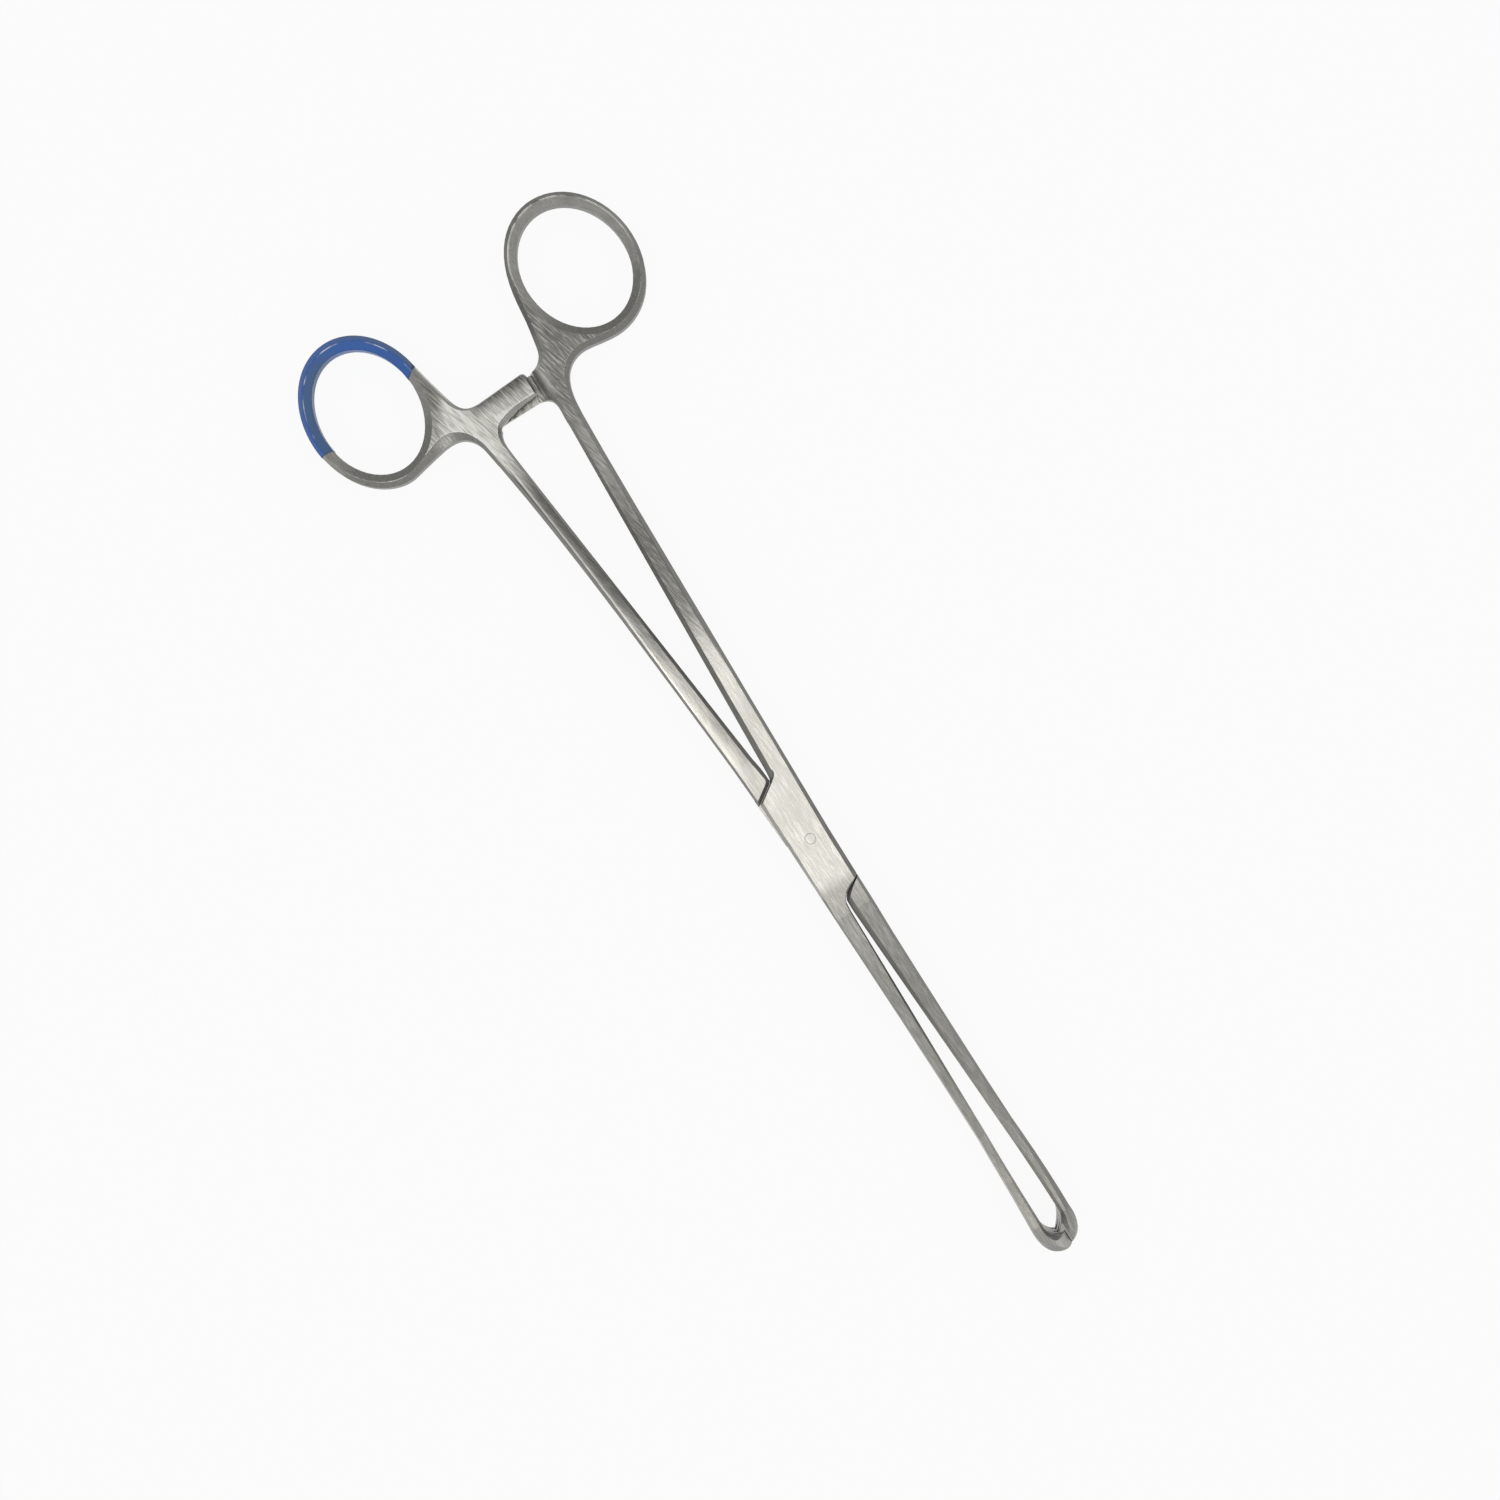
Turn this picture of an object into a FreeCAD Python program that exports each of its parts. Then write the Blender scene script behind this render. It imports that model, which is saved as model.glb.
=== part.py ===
# Vulsellum forceps, about 24 cm, straight, with a box joint, a ratchet and 3-into-4 claw teeth.
# Millimetres. +X runs from the finger rings to the claws, +Y points to the plain ring's side, +Z is up.
# The origin lies where the axis of the hinge pin meets the flat underside of the box.
import FreeCAD, Part
import math
import os

os.makedirs("parts", exist_ok=True)

# Heights, all taken from the mid-plane that both halves share
box_height = 6.0
mid_height = box_height / 2
box_bevel_depth = 0.7
handle_half_height = 2.1
handle_side_half_height = 1.2
jaw_half_height = 2.0
jaw_side_half_height = 1.25
claw_half_height = 4.6
claw_bevel_depth = 1.2

# Hinge pin, tenon and slot
pin_radius = 1.1
pin_running_clearance = 0.03
tenon_thickness = 2.2
tenon_side_clearance = 0.06
tenon_width = 4.2
tenon_edge_clearance = 0.1
tenon_angle = 11.0
heel_end_angle = 67.0
heel_end_reach = 4.95
heel_start = (4.0, 1.1)
heel_outer = (1.2, 0.62)
toe_inset = 1.0
toe_start = 1.5
toe_edge_inset = 0.1
slot_length = 31.0
opening_angle = 32.0
opening_margin = 1.5
shoulder_gap = 0.3
shoulder_bevel = 0.6
smooth_turn = 0.02

# Stations along the length where one stretch of a half ends and the next begins
handle_end_x = -98.0
box_left_x = -20.0
box_right_x = 17.0
flare_start_x = 70.0
hook_start_x = 91.0

# Box of the female half, seen from above: its long edges, and the two slanted shoulders
# where the male half comes out. Each shoulder runs into a rounded crotch beside a shank or a jaw.
box_upper_mid = (0.0, 4.29)
box_lower_mid = (2.0, -4.8)
box_lower_left = (-11.0, -4.93)
left_crotch = ((-16.2, -0.33, 1.15), (-15.1, -0.42, 1.15), (-14.2, -0.66, 0.4), (-13.6, -1.13, 0.12))
right_shoulder = ((14.9, -0.74, 0.12), (13.2, 0.42, 0.12), (12.3, 1.85, 0.12), (10.95, 4.2, 0.12))
box_upper_bevel = 0.88
box_lower_bevel = 0.68

# Shoulders of the male half, which follow those of the box across the gap
male_crotch_start = (-17.4, -0.86)
male_crotch_bevels = (0.6, 0.6, 0.6)
male_right_shoulder_bevels = (0.95, 0.55, 0.3, 0.08)

# Shanks: inner edge at the ends of the stretch, widths along it, and bevels at its ends
female_shank_inner = (3.69, -0.14)
female_shank_widths = (3.53, 3.72, 4.13, 4.52, 4.94)
female_shank_inner_bevels = (0.6, 1.15)
female_shank_outer_bevels = (0.85, 0.68)
male_shank_inner = (-9.18, -1.28)
male_shank_widths = (3.72, 3.29, 3.47, 3.95, 4.54)
male_shank_inner_bevels = (0.45, 0.8)
male_shank_outer_bevels = (0.7, 0.5)

# Jaws: inner edge at the box, at the flare and at the hook, widths on the way,
# and bevels at the box, along the jaw and at the hook
female_jaw_inner = (-0.9, -1.95, -2.31)
female_jaw_widths = (3.68, 3.17, 2.72, 2.35, 2.06)
female_jaw_inner_bevels = (0.2, 0.45, 0.5)
female_jaw_outer_bevels = (0.3, 0.3, 0.4)
female_hook_width = 2.44
male_jaw_inner = (-0.5, 1.69, 2.2)
male_jaw_widths = (4.69, 3.97, 3.42, 2.92, 2.54)
male_jaw_inner_bevels = (1.12, 0.75, 0.65)
male_jaw_outer_bevels = (0.6, 0.5, 1.05)
male_hook_width = 2.32
male_left_outer_slope = 0.048

# Finger rings. Each wire has a narrow crest between its outer bevel and its hole's flare.
plain_hole_length = 26.8
plain_hole_width = 21.8
plain_ring_from_shank = -26.3
plain_ring_y = 22.0
plain_ring_tilt = 5.5
plain_ring_arc = (0.0, 240.0)
coated_hole_length = 27.3
coated_hole_width = 21.2
coated_ring_from_shank = -23.75
coated_ring_y = -29.55
coated_ring_tilt = 1.1
coated_ring_arc = (120.0, 330.0)
ring_arc_step = 30.0
ring_wire_end = 2.8
ring_wire_side = 2.5
ring_inner_bevel = 1.6
ring_crest_width = 0.1
hole_tool_rise = 0.5
coat_thickness = 0.12
coat_upper_end = (-1.45, 10.75)
coat_upper_end_lean = 0.5
coat_lower_end = 2.85

# Webs between ring, ratchet arm and shank: points of their edges, each with its bevel,
# measured in X from the end of the shank
female_web_to_ring = (
    (-4.3, 7.7, 0.85), (-6.6, 8.35, 0.9), (-9.1, 9.9, 1.0), (-10.85, 13.0, 1.1), (-10.6, 17.8, 1.05),
)
female_web_to_arm = (
    (-26.3, 8.0, 0.95), (-21.0, 7.35, 0.9), (-17.5, 6.7, 0.9), (-14.7, 5.9, 0.8), (-13.3, 4.5, 0.8), (-12.8, 2.0, 0.8),
)
female_arm_to_shank = ((-6.9, 0.6, 0.7), (-6.5, 2.4, 0.7), (-5.7, 3.35, 0.65), (-4.0, 3.82, 0.6))
male_shank_to_arm = (
    (-3.2, -9.4, 0.5), (-5.1, -9.05, 0.65), (-6.3, -8.2, 0.8), (-7.1, -6.2, 0.95), (-7.75, -3.6, 0.85),
)
male_arm_to_ring = (
    (-13.15, -8.0, 0.4), (-13.1, -10.3, 0.45), (-13.7, -12.4, 0.55), (-15.2, -13.7, 0.7),
    (-17.5, -14.45, 0.8), (-21.0, -15.3, 0.88),
)
male_ring_to_shank = (
    (-7.35, -29.6, 1.1), (-7.9, -26.5, 1.3), (-8.7, -22.5, 1.7), (-9.15, -18.6, 2.1), (-8.5, -16.2, 1.45),
    (-6.55, -14.35, 0.85), (-4.0, -13.55, 0.75),
)

# Ratchet: two arms, one above the other, with teeth that face each other.
# Their edges are measured in X from the end of the shank.
arm_end_bevel = 0.4
female_arm_left = -12.6
female_arm_right = -6.9
female_arm_end_y = -9.5
female_ramp_top_y = 4.9
female_ramp_right = -5.4
male_arm_left = -13.6
male_arm_right = -8.3
male_arm_end_y = 1.6
male_arm_corner = 1.0
corner_middle = 0.29
male_ramp_top_y = -13.0
male_ramp_right = -6.0
ramp_length = 2.6
ramp_middle_share = 0.62
ramp_middle_drop = 0.3
tooth_pitch = 2.2
tooth_count = 4
tooth_height = 0.75
tooth_steep_share = 0.12
tooth_tip_clearance = 0.07
first_tooth_y = 1.3

# Claws. A hook's edge is given by shares of its length and of its way across, with the bevel there.
# Each tooth is a wedge, and both rows share the levels of their valleys and peaks but for a small gap.
hook_length = 7.15
female_point_y = 1.3
male_point_y = -1.7
female_hook_outer = (
    (0.0, 0.0, 0.4), (0.545, 0.05, 0.75), (0.797, 0.207, 1.3), (0.958, 0.471, 1.35), (1.0, 0.702, 0.95),
    (0.853, 1.0, 0.4),
)
female_hook_inner = (
    (0.434, 0.0, 0.25), (0.552, 0.277, 0.6), (0.538, 0.526, 0.9), (0.434, 0.776, 0.8), (0.266, 0.961, 0.6),
    (0.0, 1.0, 0.5),
)
male_hook_inner = (
    (0.0, 0.0, 0.65), (0.182, 0.13, 1.0), (0.336, 0.318, 1.45), (0.476, 0.555, 1.7), (0.545, 0.758, 1.3),
    (0.531, 1.0, 0.8),
)
male_hook_outer = (
    (0.839, 0.0, 0.2), (0.925, 0.24, 0.2), (0.885, 0.512, 0.4), (0.77, 0.728, 0.65), (0.53, 0.915, 0.85),
    (0.0, 1.0, 1.05),
)
claw_tooth_pitch = 2.3
claw_valley_y = -1.6
claw_peak_y = 1.2
claw_gap = 0.5
claw_point_bevel = 0.12
hook_plain_length = 2.2
flare_shares = (0.0, 0.25, 0.5, 0.75, 1.0)
flare_power = 1.4

tool_overshoot = 5.0
intervals_per_edge = 3


def vector(x, y, z=0.0):
    return FreeCAD.Vector(x, y, z)


def line_meeting(point_a, slope_a, point_b, slope_b):
    # Where two straight lines in the plan meet, each given by a point and a slope dy/dx
    x = (point_b[1] - point_a[1] + slope_a * point_a[0] - slope_b * point_b[0]) / (slope_a - slope_b)
    return (x, point_a[1] + slope_a * (x - point_a[0]))


def chord_parameters(span):
    # Running length from point to point, so that an outline and its inset share one pacing
    lengths = [0.0]
    for a, b in zip(span, span[1:]):
        lengths.append(lengths[-1] + math.hypot(b[0] - a[0], b[1] - a[1]))
    return lengths


def span_curve(span, pacing):
    # A span of two points is a straight edge and a longer one is a smooth curve through its points
    points = [vector(p[0], p[1]) for p in span]
    if len(points) == 2:
        return Part.LineSegment(points[0], points[1])
    curve = Part.BSplineCurve()
    curve.interpolate(Points=points, Parameters=pacing)
    return curve


def inward_normals(span):
    # Outlines run counter-clockwise, so the material lies to the left of each edge
    curve = span_curve(span, chord_parameters(span))
    normals = []
    for point in span:
        position = curve.parameter(vector(point[0], point[1]))
        along = curve.tangent(position)[0]
        normals.append((-along.y, along.x))
    return normals


def corner_inset(point, normal_a, bevel_a, normal_b, bevel_b):
    # The corner of two edges after each has moved inwards by its own bevel, or one point's move
    # where they meet without a kink.
    # Next to an edge without a bevel the corner slides along that edge.
    if bevel_b == 0.0:
        return (point[0] - normal_b[1] * -bevel_a, point[1] + normal_b[0] * -bevel_a)
    if bevel_a == 0.0:
        return (point[0] + normal_a[1] * -bevel_b, point[1] - normal_a[0] * -bevel_b)
    turn = normal_a[0] * normal_b[1] - normal_a[1] * normal_b[0]
    if abs(turn) < smooth_turn:
        return (point[0] + normal_a[0] * bevel_a, point[1] + normal_a[1] * bevel_a)
    x = (bevel_a * normal_b[1] - bevel_b * normal_a[1]) / turn
    y = (bevel_b * normal_a[0] - bevel_a * normal_b[0]) / turn
    return (point[0] + x, point[1] + y)


def inset_spans(spans, share):
    # Moves every point of an outline inwards by a share of its own bevel
    normals = [inward_normals(span) for span in spans]
    result = []
    for i, span in enumerate(spans):
        before = i - 1
        after = (i + 1) % len(spans)
        moved = []
        for j, point in enumerate(span):
            bevel = point[2] * share
            if j == 0:
                other = spans[before][-1][2] * share
                moved.append(corner_inset(point, normals[before][-1], other, normals[i][0], bevel))
            elif j == len(span) - 1:
                other = spans[after][0][2] * share
                moved.append(corner_inset(point, normals[i][j], bevel, normals[after][0], other))
            else:
                moved.append((point[0] + normals[i][j][0] * bevel, point[1] + normals[i][j][1] * bevel))
        result.append(moved)
    return result


def wire_at(spans, share, z):
    # A long smooth curve becomes several edges that follow on without a kink
    edges = []
    for outline, span in zip(spans, inset_spans(spans, share)):
        pacing = chord_parameters(outline)
        curve = span_curve(span, pacing)
        curve.translate(vector(0, 0, z))
        if len(span) == 2:
            edges.append(curve.toShape())
            continue
        stops = pacing[:-1:intervals_per_edge] + pacing[-1:]
        for start, end in zip(stops, stops[1:]):
            edges.append(curve.toShape(start, end))
    return Part.Wire(edges)


def bevelled_plate(spans, side_half, top_half):
    # A plate about the mid-plane, with upright sides and its own bevel along every edge
    wires = [
        wire_at(spans, 1.0, mid_height - top_half),
        wire_at(spans, 0.0, mid_height - side_half),
        wire_at(spans, 0.0, mid_height + side_half),
        wire_at(spans, 1.0, mid_height + top_half),
    ]
    return Part.makeLoft(wires, True, True)


def flat_polygon(points, z, height):
    corners = [vector(p[0], p[1], z) for p in points]
    return Part.Face(Part.makePolygon(corners + corners[:1])).extrude(vector(0, 0, height))


def section(x, low_y, high_y, low_bevel, high_bevel, side_half, top_half):
    # Eight-sided section across a shank or jaw
    outline = [
        (low_y, -side_half),
        (low_y + low_bevel, -top_half),
        (high_y - high_bevel, -top_half),
        (high_y, -side_half),
        (high_y, side_half),
        (high_y - high_bevel, top_half),
        (low_y + low_bevel, top_half),
        (low_y, side_half),
    ]
    corners = [vector(x, y, mid_height + z) for y, z in outline]
    return Part.makePolygon(corners + corners[:1])


def ring_point(centre, tilt, half_length, half_width, angle):
    # A point on a tilted ellipse
    a = math.radians(angle)
    t = math.radians(tilt)
    along = half_length * math.cos(a)
    across = half_width * math.sin(a)
    return (
        centre[0] + along * math.cos(t) - across * math.sin(t),
        centre[1] + along * math.sin(t) + across * math.cos(t),
    )


def ring_outer_bevel(wire):
    return wire - ring_inner_bevel - ring_crest_width


def ring_arc(centre, tilt, hole_length, hole_width, angles):
    # Points of the ring's outer edge from one angle to another
    half_length = hole_length / 2 + ring_wire_end
    half_width = hole_width / 2 + ring_wire_side
    points = []
    for i in range(round((angles[1] - angles[0]) / ring_arc_step) + 1):
        angle = angles[0] + i * ring_arc_step
        x, y = ring_point(centre, tilt, half_length, half_width, angle)
        at_end = math.cos(math.radians(angle)) ** 2
        wire = ring_wire_end * at_end + ring_wire_side * (1 - at_end)
        points.append((x, y, ring_outer_bevel(wire)))
    return points


def ellipse_wire(centre, tilt, half_length, half_width, z):
    curve = Part.Ellipse(vector(0, 0, 0), half_length, half_width)
    wire = Part.Wire([curve.toShape()])
    wire.rotate(vector(0, 0, 0), vector(0, 0, 1), tilt)
    wire.translate(vector(centre[0], centre[1], z))
    return wire


def finger_hole(centre, tilt, hole_length, hole_width):
    # The tool that opens a finger ring: upright in the middle and flared towards both faces
    slope = ring_inner_bevel / (handle_half_height - handle_side_half_height)
    rise = handle_half_height - handle_side_half_height + hole_tool_rise
    flare = slope * rise
    wires = []
    for side, grow in ((-1, flare), (-1, 0.0), (1, 0.0), (1, flare)):
        height = handle_side_half_height + (rise if grow else 0.0)
        z = mid_height + side * height
        wires.append(ellipse_wire(centre, tilt, hole_length / 2 + grow, hole_width / 2 + grow, z))
    return Part.makeLoft(wires, True, True)


def ratchet_relief(tooth_start_y, ramp_top_y, open_side, left_x, right_x):
    # The space that is milled away beside a ratchet arm, as a side view drawn along X.
    # open_side is +1 where the teeth look up and -1 where they look down.
    # The arm points away from its ramp, towards -Y on the one half and +Y on the other.
    away = -open_side
    tip_z = mid_height - open_side * tooth_tip_clearance
    root_z = tip_z - open_side * tooth_height
    face_z = mid_height + open_side * handle_half_height
    far_z = mid_height + open_side * tool_overshoot
    ramp_foot_y = ramp_top_y + away * ramp_length
    teeth_end_y = tooth_start_y + away * tooth_count * tooth_pitch
    arm_far_y = teeth_end_y + away * tool_overshoot
    outline = [(ramp_foot_y, root_z)]
    for i in range(tooth_count):
        y = tooth_start_y + away * i * tooth_pitch
        outline.append((y, root_z))
        outline.append((y + away * tooth_pitch * tooth_steep_share, tip_z))
    outline.append((teeth_end_y, root_z))
    outline.append((arm_far_y, root_z))
    outline.append((arm_far_y, far_z))
    outline.append((ramp_top_y, far_z))
    outline.append((ramp_top_y, face_z))
    points = [vector(left_x, y, z) for y, z in outline]
    ramp_middle_z = face_z + (root_z - face_z) * ramp_middle_drop
    ramp_middle = vector(left_x, ramp_top_y + away * ramp_length * ramp_middle_share, ramp_middle_z)
    edges = [Part.LineSegment(a, b).toShape() for a, b in zip(points, points[1:])]
    edges.append(Part.Arc(points[-1], ramp_middle, points[0]).toShape())
    return Part.Face(Part.Wire(edges)).extrude(vector(right_x - left_x, 0, 0))


def between(pair, share):
    return pair[0] + (pair[1] - pair[0]) * share


def shank_bar(inner, widths, outward, inner_bevels, outer_bevels):
    # A straight tapering shank from the handle to the box, deeper towards the box
    sections = []
    last = len(widths) - 1
    for i, width in enumerate(widths):
        share = i / last
        x = between((handle_end_x, box_left_x), share)
        top_half = between((handle_half_height, mid_height), share)
        side_half = between((handle_side_half_height, mid_height - box_bevel_depth), share)
        edges = (between(inner_bevels, share), between(outer_bevels, share))
        sections.append(sided_section(x, between(inner, share), width, outward, *edges, side_half, top_half))
    return Part.makeLoft(sections, True, False)


def sided_section(x, inner_y, width, outward, inner_bevel, outer_bevel, side_half, top_half):
    outer_y = inner_y + outward * width
    if outward > 0:
        return section(x, inner_y, outer_y, inner_bevel, outer_bevel, side_half, top_half)
    return section(x, outer_y, inner_y, outer_bevel, inner_bevel, side_half, top_half)


def jaw_bars(inner, widths, hook_width, outward, inner_bevels, outer_bevels):
    # A slim jaw from the box to its hook. The last stretch flares up and down into the claw.
    slim = []
    last = len(widths) - 1
    for i, width in enumerate(widths):
        share = i / last
        x = between((box_right_x, flare_start_x), share)
        top_half = between((mid_height, jaw_half_height), share)
        side_half = between((mid_height - box_bevel_depth, jaw_side_half_height), share)
        blend = min(1.0, 2 * share)
        edges = (between(inner_bevels[:2], blend), between(outer_bevels[:2], blend))
        slim.append(sided_section(x, between(inner[:2], share), width, outward, *edges, side_half, top_half))
    flare = []
    for share in flare_shares:
        x = between((flare_start_x, hook_start_x), share)
        inner_y = between(inner[1:], 1 - (1 - share) ** 2)
        width = between((widths[-1], hook_width), share ** 3)
        rise = share ** flare_power
        top_half = between((jaw_half_height, claw_half_height), rise)
        side_half = between((jaw_side_half_height, claw_half_height - claw_bevel_depth), rise)
        edges = (between(inner_bevels[1:], share), between(outer_bevels[1:], share))
        flare.append(sided_section(x, inner_y, width, outward, *edges, side_half, top_half))
    return Part.makeLoft(slim, True, False).fuse(Part.makeLoft(flare, True, False))


def claw_cutter(first_tooth_z, teeth, rest_y, peak_y, valley_y, far_y):
    # The space in front of a row of claw teeth, drawn across the tips and run along X.
    # Each tooth rises from valley to peak and back within one pitch.
    outline = [(rest_y, mid_height - claw_half_height - tool_overshoot)]
    for i in range(teeth):
        z = first_tooth_z + i * claw_tooth_pitch
        outline.append((valley_y, mid_height + z - claw_tooth_pitch / 2))
        outline.append((peak_y, mid_height + z))
    z = first_tooth_z + (teeth - 0.5) * claw_tooth_pitch
    outline.append((valley_y, mid_height + z))
    outline.append((rest_y, mid_height + claw_half_height + tool_overshoot))
    outline.append((far_y, mid_height + claw_half_height + tool_overshoot))
    outline.append((far_y, mid_height - claw_half_height - tool_overshoot))
    points = [vector(hook_start_x + hook_plain_length, y, z) for y, z in outline]
    return Part.Face(Part.makePolygon(points + points[:1])).extrude(vector(2 * tool_overshoot, 0, 0))


def make_pin(radius):
    return Part.makeCylinder(radius, box_height, vector(0, 0, 0))


def with_bevel(points, bevel):
    return [(point[0], point[1], bevel) for point in points]


def from_shank(points):
    # Points of a handle's edge, moved from the end of the shank to their place
    return [(handle_end_x + x, y, bevel) for x, y, bevel in points]


def plain_ring_centre():
    return (handle_end_x + plain_ring_from_shank, plain_ring_y)


def coated_ring_centre():
    return (handle_end_x + coated_ring_from_shank, coated_ring_y)


def female_handle():
    # Plain finger ring, web and lower ratchet arm as one plate, then the finger hole and the teeth
    inner_y = female_shank_inner[0]
    outer_y = inner_y + female_shank_widths[0]
    ring_size = (plain_ring_centre(), plain_ring_tilt, plain_hole_length, plain_hole_width)
    left_x = handle_end_x + female_arm_left
    right_x = handle_end_x + female_arm_right
    outer = [(handle_end_x, outer_y, female_shank_outer_bevels[0])] + from_shank(female_web_to_ring)
    outer += ring_arc(*ring_size, plain_ring_arc) + from_shank(female_web_to_arm)
    inner = from_shank(female_arm_to_shank) + [(handle_end_x, inner_y, female_shank_inner_bevels[0])]
    arm_left = with_bevel([outer[-1], (left_x, female_arm_end_y)], outer[-1][2])
    arm_end = with_bevel([(left_x, female_arm_end_y), (right_x, female_arm_end_y)], arm_end_bevel)
    arm_right = with_bevel([(right_x, female_arm_end_y), inner[0]], inner[0][2])
    shank_end = with_bevel([(handle_end_x, inner_y), (handle_end_x, outer_y)], 0.0)
    spans = [outer, arm_left, arm_end, arm_right, inner, shank_end]
    plate = bevelled_plate(spans, handle_side_half_height, handle_half_height)
    relief = ratchet_relief(
        first_tooth_y, female_ramp_top_y, 1, left_x - tool_overshoot, handle_end_x + female_ramp_right
    )
    return plate.cut(finger_hole(*ring_size)).cut(relief)


def male_handle_spans():
    inner_y = male_shank_inner[0]
    outer_y = inner_y - male_shank_widths[0]
    ring_size = (coated_ring_centre(), coated_ring_tilt, coated_hole_length, coated_hole_width)
    left_x = handle_end_x + male_arm_left
    inner = [(handle_end_x, inner_y, male_shank_inner_bevels[0])] + from_shank(male_shank_to_arm)
    inner.append((handle_end_x + male_arm_right, male_arm_end_y, arm_end_bevel))
    outer = from_shank(male_arm_to_ring) + ring_arc(*ring_size, coated_ring_arc)
    outer += from_shank(male_ring_to_shank) + [(handle_end_x, outer_y, male_shank_outer_bevels[0])]
    corner = with_bevel([
        (left_x + male_arm_corner, male_arm_end_y),
        (left_x + male_arm_corner * corner_middle, male_arm_end_y - male_arm_corner * corner_middle),
        (left_x, male_arm_end_y - male_arm_corner),
    ], arm_end_bevel)
    arm_end = with_bevel([inner[-1], corner[0]], arm_end_bevel)
    arm_left = with_bevel([corner[-1], outer[0]], arm_end_bevel)
    shank_end = with_bevel([(handle_end_x, outer_y), (handle_end_x, inner_y)], 0.0)
    return [inner, arm_end, corner, arm_left, outer, shank_end]


def male_handle():
    # Coated finger ring, web and upper ratchet arm as one plate, then the finger hole and the teeth
    plate = bevelled_plate(male_handle_spans(), handle_side_half_height, handle_half_height)
    hole = finger_hole(coated_ring_centre(), coated_ring_tilt, coated_hole_length, coated_hole_width)
    teeth_end_y = first_tooth_y - tooth_count * tooth_pitch
    left_x = handle_end_x + male_arm_left - tool_overshoot
    relief = ratchet_relief(teeth_end_y, male_ramp_top_y, -1, left_x, handle_end_x + male_ramp_right)
    return plate.cut(hole).cut(relief)


def box_plate():
    # The box with the stubs of the shank and the jaw that grow out of it
    shank_low = female_shank_inner[1]
    shank_high = shank_low + female_shank_widths[-1]
    jaw_high = female_jaw_inner[0]
    jaw_low = jaw_high - female_jaw_widths[0]
    upper_right = right_shoulder[-1]
    spans = [
        with_bevel([(box_left_x, shank_high), (box_left_x, shank_low)], 0.0),
        with_bevel([(box_left_x, shank_low), left_crotch[0]], left_crotch[0][2]),
        list(left_crotch),
        with_bevel([left_crotch[-1], box_lower_left], left_crotch[-1][2]),
        with_bevel([box_lower_left, box_lower_mid], box_lower_bevel),
        [(*box_lower_mid, box_lower_bevel), (box_right_x, jaw_low, female_jaw_outer_bevels[0])],
        with_bevel([(box_right_x, jaw_low), (box_right_x, jaw_high)], 0.0),
        with_bevel([(box_right_x, jaw_high), right_shoulder[0]], female_jaw_inner_bevels[0]),
        list(right_shoulder),
        with_bevel([upper_right, box_upper_mid], box_upper_bevel),
        [(*box_upper_mid, box_upper_bevel), (box_left_x, shank_high, female_shank_outer_bevels[1])],
    ]
    return bevelled_plate(spans, mid_height - box_bevel_depth, mid_height)


def joint_point(along, across):
    # A point given along and across the tenon, which crosses the box at an angle
    a = math.radians(tenon_angle)
    return (along * math.cos(a) - across * math.sin(a), along * math.sin(a) + across * math.cos(a))


def slot():
    # The way that the tenon sweeps through the box, the same on both sides of the pin
    half_width = tenon_width / 2 + tenon_edge_clearance
    wall_angle = math.radians(heel_end_angle - 180.0 + opening_angle + opening_margin)
    wall_start = half_width / -math.tan(wall_angle)
    far = right_shoulder[0][0] + tool_overshoot
    reach = slot_length / 2
    corner = (wall_start, -half_width)
    wall_top = (-far / math.tan(wall_angle), -far)
    lower = [wall_top, corner, (reach, -half_width), (reach, far)]
    upper = [(-x, -y) for x, y in lower]
    height = tenon_thickness + 2 * tenon_side_clearance
    points = [joint_point(x, y) for x, y in lower[1:] + upper + lower[:1]]
    floor = mid_height - height / 2
    turning_radius = tenon_width / 2 / math.sin(math.radians(heel_end_angle)) + tenon_edge_clearance
    eye = Part.makeCylinder(turning_radius, height, vector(0, 0, floor))
    return flat_polygon(points, floor, height).fuse(eye)


def female_half():
    shank_bevels = (female_shank_inner_bevels, female_shank_outer_bevels)
    shank = shank_bar(female_shank_inner, female_shank_widths, 1, *shank_bevels)
    jaw_bevels = (female_jaw_inner_bevels, female_jaw_outer_bevels)
    jaw = jaw_bars(female_jaw_inner, female_jaw_widths, female_hook_width, -1, *jaw_bevels)
    box = box_plate().cut(slot()).cut(make_pin(pin_radius))
    return female_handle().fuse([shank, box, jaw, female_hook()]).removeSplitter()


def hook_edge(shape, start_y, end_y):
    points = []
    for along, across, bevel in shape:
        points.append((hook_start_x + hook_length * along, between((start_y, end_y), across), bevel))
    return points


def female_hook():
    # Lower hook: turns up across the end and ends in four claw teeth
    inner_y = female_jaw_inner[2]
    outer_y = inner_y - female_hook_width
    outer = hook_edge(female_hook_outer, outer_y, female_point_y)
    inner = hook_edge(female_hook_inner, female_point_y, inner_y)
    point = with_bevel([outer[-1], inner[0]], claw_point_bevel)
    start = with_bevel([inner[-1], outer[0]], 0.0)
    hook = bevelled_plate([outer, point, inner, start], claw_half_height - claw_bevel_depth, claw_half_height)
    valley_y = claw_valley_y - claw_gap / 2
    cutter = claw_cutter(
        -1.5 * claw_tooth_pitch, 4, valley_y, claw_peak_y - claw_gap / 2, valley_y, tool_overshoot
    )
    return hook.cut(cutter)


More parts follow.
